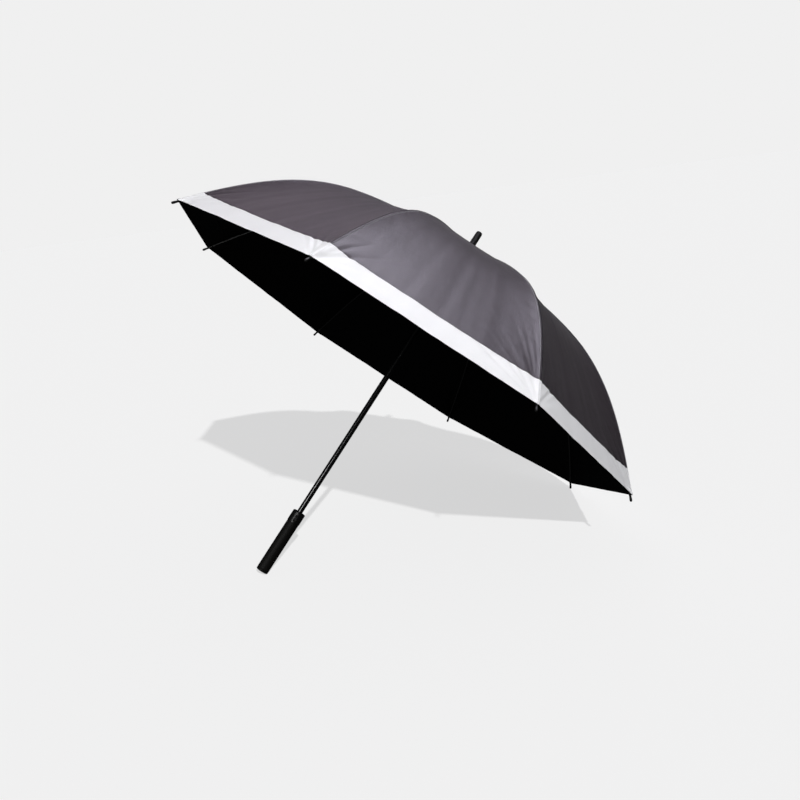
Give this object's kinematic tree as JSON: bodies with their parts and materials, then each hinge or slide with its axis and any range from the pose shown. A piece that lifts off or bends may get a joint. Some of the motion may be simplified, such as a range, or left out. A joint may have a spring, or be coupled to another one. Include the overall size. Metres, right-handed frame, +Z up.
{
  "type": "golf umbrella",
  "caption": "Large straight-handled umbrella with an arched ribbed canopy, pale hem band and push-button handle.",
  "frame": {"origin": "centre of the handle's flat bottom end", "axes": "+Z up the shaft towards the ferrule, +X over the first rib"},
  "size_m": [1.3124, 1.3124, 0.999],
  "materials": {
    "canopy_fabric": "satin",
    "strap_fabric": "satin",
    "rib_steel": "satin",
    "rib_rod": "satin",
    "tip_plastic": "satin",
    "shaft_paint": "gloss",
    "moulding": "satin",
    "spring_steel": "satin",
    "grip_rubber": "matte",
    "gloss_collar": "gloss"
  },
  "bodies": {
    "frame": {"shaft_tube": "shaft_paint", "crown": "moulding", "crown_wire": "spring_steel", "top_washer": "moulding", "ferrule": "moulding", "opening_spring": "spring_steel", "spring_seat": "moulding", "handle_core": "moulding", "handle_grip": "grip_rubber", "handle_end_cap": "moulding", "handle_collar": "gloss_collar", "button_spring": "spring_steel", "tie_strap": "strap_fabric", "canopy_gore_1": "canopy_fabric", "canopy_gore_2": "canopy_fabric", "canopy_gore_3": "canopy_fabric", "canopy_gore_4": "canopy_fabric", "canopy_gore_5": "canopy_fabric", "canopy_gore_6": "canopy_fabric", "canopy_gore_7": "canopy_fabric", "canopy_gore_8": "canopy_fabric"},
    "runner": {"runner": "moulding", "runner_wire": "spring_steel", "runner_key": "spring_steel"},
    "push_button": {"push_button": "gloss_collar", "latch_plate": "spring_steel"},
    "top_catch": {"top_catch": "spring_steel"},
    "rib_inner_1": {"rib_inner_1": "rib_steel"},
    "rib_outer_1": {"rib_outer_1": "rib_rod", "rib_tip_1": "tip_plastic"},
    "stretcher_1": {"stretcher_1": "rib_steel"},
    "rib_inner_2": {"rib_inner_2": "rib_steel"},
    "rib_outer_2": {"rib_outer_2": "rib_rod", "rib_tip_2": "tip_plastic"},
    "stretcher_2": {"stretcher_2": "rib_steel"},
    "rib_inner_3": {"rib_inner_3": "rib_steel"},
    "rib_outer_3": {"rib_outer_3": "rib_rod", "rib_tip_3": "tip_plastic"},
    "stretcher_3": {"stretcher_3": "rib_steel"},
    "rib_inner_4": {"rib_inner_4": "rib_steel"},
    "rib_outer_4": {"rib_outer_4": "rib_rod", "rib_tip_4": "tip_plastic"},
    "stretcher_4": {"stretcher_4": "rib_steel"},
    "rib_inner_5": {"rib_inner_5": "rib_steel"},
    "rib_outer_5": {"rib_outer_5": "rib_rod", "rib_tip_5": "tip_plastic"},
    "stretcher_5": {"stretcher_5": "rib_steel"},
    "rib_inner_6": {"rib_inner_6": "rib_steel"},
    "rib_outer_6": {"rib_outer_6": "rib_rod", "rib_tip_6": "tip_plastic"},
    "stretcher_6": {"stretcher_6": "rib_steel"},
    "rib_inner_7": {"rib_inner_7": "rib_steel"},
    "rib_outer_7": {"rib_outer_7": "rib_rod", "rib_tip_7": "tip_plastic"},
    "stretcher_7": {"stretcher_7": "rib_steel"},
    "rib_inner_8": {"rib_inner_8": "rib_steel"},
    "rib_outer_8": {"rib_outer_8": "rib_rod", "rib_tip_8": "tip_plastic"},
    "stretcher_8": {"stretcher_8": "rib_steel"}
  },
  "joints": [
    {"name": "canopy_fold", "type": "hinge", "parent": "frame", "child": "rib_inner_1", "pos_m": [0.0134, 0, 0.93656], "axis": [0, 1, 0], "range_deg": [0, 76.14], "stiffness_Nm_per_rad": 6, "springref_deg": -20.05, "deforming": ["canopy_gore_1", "canopy_gore_2", "canopy_gore_3", "canopy_gore_4", "canopy_gore_5", "canopy_gore_6", "canopy_gore_7", "canopy_gore_8", "tie_strap", "opening_spring", "top_catch"]},
    {"name": "rib_2_fold", "type": "hinge", "parent": "frame", "child": "rib_inner_2", "pos_m": [0.00947, 0.00947, 0.93656], "axis": [-0.7071, 0.7071, 0], "range_deg": [0, 76.14]},
    {"name": "rib_3_fold", "type": "hinge", "parent": "frame", "child": "rib_inner_3", "pos_m": [0, 0.0134, 0.93656], "axis": [-1, 0, 0], "range_deg": [0, 76.14]},
    {"name": "rib_4_fold", "type": "hinge", "parent": "frame", "child": "rib_inner_4", "pos_m": [-0.00947, 0.00947, 0.93656], "axis": [-0.7071, -0.7071, 0], "range_deg": [0, 76.14]},
    {"name": "rib_5_fold", "type": "hinge", "parent": "frame", "child": "rib_inner_5", "pos_m": [-0.0134, 0, 0.93656], "axis": [0, -1, 0], "range_deg": [0, 76.14]},
    {"name": "rib_6_fold", "type": "hinge", "parent": "frame", "child": "rib_inner_6", "pos_m": [-0.00947, -0.00947, 0.93656], "axis": [0.7071, -0.7071, 0], "range_deg": [0, 76.14]},
    {"name": "rib_7_fold", "type": "hinge", "parent": "frame", "child": "rib_inner_7", "pos_m": [0, -0.0134, 0.93656], "axis": [1, 0, 0], "range_deg": [0, 76.14]},
    {"name": "rib_8_fold", "type": "hinge", "parent": "frame", "child": "rib_inner_8", "pos_m": [0.00947, -0.00947, 0.93656], "axis": [0.7071, 0.7071, 0], "range_deg": [0, 76.14]},
    {"name": "stretcher_1_swing", "type": "hinge", "parent": "rib_inner_1", "child": "stretcher_1", "pos_m": [0.35216, 0, 0.86849], "axis": [0, 1, 0], "range_deg": [-152.28, 0]},
    {"name": "rib_outer_1_flex", "type": "hinge", "parent": "rib_inner_1", "child": "rib_outer_1", "pos_m": [0.35216, 0, 0.86849], "axis": [0, 1, 0], "range_deg": [-26.54, 0]},
    {"name": "stretcher_2_swing", "type": "hinge", "parent": "rib_inner_2", "child": "stretcher_2", "pos_m": [0.24902, 0.24902, 0.86849], "axis": [-0.7071, 0.7071, 0], "range_deg": [-152.28, 0]},
    {"name": "rib_outer_2_flex", "type": "hinge", "parent": "rib_inner_2", "child": "rib_outer_2", "pos_m": [0.24902, 0.24902, 0.86849], "axis": [-0.7071, 0.7071, 0], "range_deg": [-26.54, 0]},
    {"name": "stretcher_3_swing", "type": "hinge", "parent": "rib_inner_3", "child": "stretcher_3", "pos_m": [0, 0.35216, 0.86849], "axis": [-1, 0, 0], "range_deg": [-152.28, 0]},
    {"name": "rib_outer_3_flex", "type": "hinge", "parent": "rib_inner_3", "child": "rib_outer_3", "pos_m": [0, 0.35216, 0.86849], "axis": [-1, 0, 0], "range_deg": [-26.54, 0]},
    {"name": "stretcher_4_swing", "type": "hinge", "parent": "rib_inner_4", "child": "stretcher_4", "pos_m": [-0.24902, 0.24902, 0.86849], "axis": [-0.7071, -0.7071, 0], "range_deg": [-152.28, 0]},
    {"name": "rib_outer_4_flex", "type": "hinge", "parent": "rib_inner_4", "child": "rib_outer_4", "pos_m": [-0.24902, 0.24902, 0.86849], "axis": [-0.7071, -0.7071, 0], "range_deg": [-26.54, 0]},
    {"name": "stretcher_5_swing", "type": "hinge", "parent": "rib_inner_5", "child": "stretcher_5", "pos_m": [-0.35216, 0, 0.86849], "axis": [0, -1, 0], "range_deg": [-152.28, 0]},
    {"name": "rib_outer_5_flex", "type": "hinge", "parent": "rib_inner_5", "child": "rib_outer_5", "pos_m": [-0.35216, 0, 0.86849], "axis": [0, -1, 0], "range_deg": [-26.54, 0]},
    {"name": "stretcher_6_swing", "type": "hinge", "parent": "rib_inner_6", "child": "stretcher_6", "pos_m": [-0.24902, -0.24902, 0.86849], "axis": [0.7071, -0.7071, 0], "range_deg": [-152.28, 0]},
    {"name": "rib_outer_6_flex", "type": "hinge", "parent": "rib_inner_6", "child": "rib_outer_6", "pos_m": [-0.24902, -0.24902, 0.86849], "axis": [0.7071, -0.7071, 0], "range_deg": [-26.54, 0]},
    {"name": "stretcher_7_swing", "type": "hinge", "parent": "rib_inner_7", "child": "stretcher_7", "pos_m": [0, -0.35216, 0.86849], "axis": [1, 0, 0], "range_deg": [-152.28, 0]},
    {"name": "rib_outer_7_flex", "type": "hinge", "parent": "rib_inner_7", "child": "rib_outer_7", "pos_m": [0, -0.35216, 0.86849], "axis": [1, 0, 0], "range_deg": [-26.54, 0]},
    {"name": "stretcher_8_swing", "type": "hinge", "parent": "rib_inner_8", "child": "stretcher_8", "pos_m": [0.24902, -0.24902, 0.86849], "axis": [0.7071, 0.7071, 0], "range_deg": [-152.28, 0]},
    {"name": "rib_outer_8_flex", "type": "hinge", "parent": "rib_inner_8", "child": "rib_outer_8", "pos_m": [0.24902, -0.24902, 0.86849], "axis": [0.7071, 0.7071, 0], "range_deg": [-26.54, 0]},
    {"name": "runner_pivot", "type": "hinge", "parent": "stretcher_1", "child": "runner", "pos_m": [0.0134, 0, 0.80042], "axis": [0, 1, 0], "range_deg": [0, 76.14]},
    {"name": "button_press", "type": "slide", "parent": "frame", "child": "push_button", "axis": [-0.3827, -0.9239, 0], "range_m": [0, 0.003], "stiffness_N_per_m": 600, "springref_m": -0.002, "deforming": ["button_spring"]},
    {"name": "top_catch_press", "type": "hinge", "parent": "frame", "child": "top_catch", "pos_m": [0.0023, 0.00554, 0.75742], "axis": [0.9239, -0.3827, 0], "range_deg": [0, 6.5], "stiffness_Nm_per_rad": 0.3, "springref_deg": -5.73}
  ],
  "couplings": [
    {"joint": "rib_2_fold", "follows": "canopy_fold", "ratio": 1},
    {"joint": "rib_3_fold", "follows": "canopy_fold", "ratio": 1},
    {"joint": "rib_4_fold", "follows": "canopy_fold", "ratio": 1},
    {"joint": "rib_5_fold", "follows": "canopy_fold", "ratio": 1},
    {"joint": "rib_6_fold", "follows": "canopy_fold", "ratio": 1},
    {"joint": "rib_7_fold", "follows": "canopy_fold", "ratio": 1},
    {"joint": "rib_8_fold", "follows": "canopy_fold", "ratio": 1},
    {"joint": "stretcher_1_swing", "follows": "canopy_fold", "ratio": -2},
    {"joint": "rib_outer_1_flex", "follows": "canopy_fold", "ratio": -0.3484},
    {"joint": "stretcher_2_swing", "follows": "canopy_fold", "ratio": -2},
    {"joint": "rib_outer_2_flex", "follows": "canopy_fold", "ratio": -0.3484},
    {"joint": "stretcher_3_swing", "follows": "canopy_fold", "ratio": -2},
    {"joint": "rib_outer_3_flex", "follows": "canopy_fold", "ratio": -0.3484},
    {"joint": "stretcher_4_swing", "follows": "canopy_fold", "ratio": -2},
    {"joint": "rib_outer_4_flex", "follows": "canopy_fold", "ratio": -0.3484},
    {"joint": "stretcher_5_swing", "follows": "canopy_fold", "ratio": -2},
    {"joint": "rib_outer_5_flex", "follows": "canopy_fold", "ratio": -0.3484},
    {"joint": "stretcher_6_swing", "follows": "canopy_fold", "ratio": -2},
    {"joint": "rib_outer_6_flex", "follows": "canopy_fold", "ratio": -0.3484},
    {"joint": "stretcher_7_swing", "follows": "canopy_fold", "ratio": -2},
    {"joint": "rib_outer_7_flex", "follows": "canopy_fold", "ratio": -0.3484},
    {"joint": "stretcher_8_swing", "follows": "canopy_fold", "ratio": -2},
    {"joint": "rib_outer_8_flex", "follows": "canopy_fold", "ratio": -0.3484},
    {"joint": "runner_pivot", "follows": "canopy_fold", "ratio": 1}
  ]
}
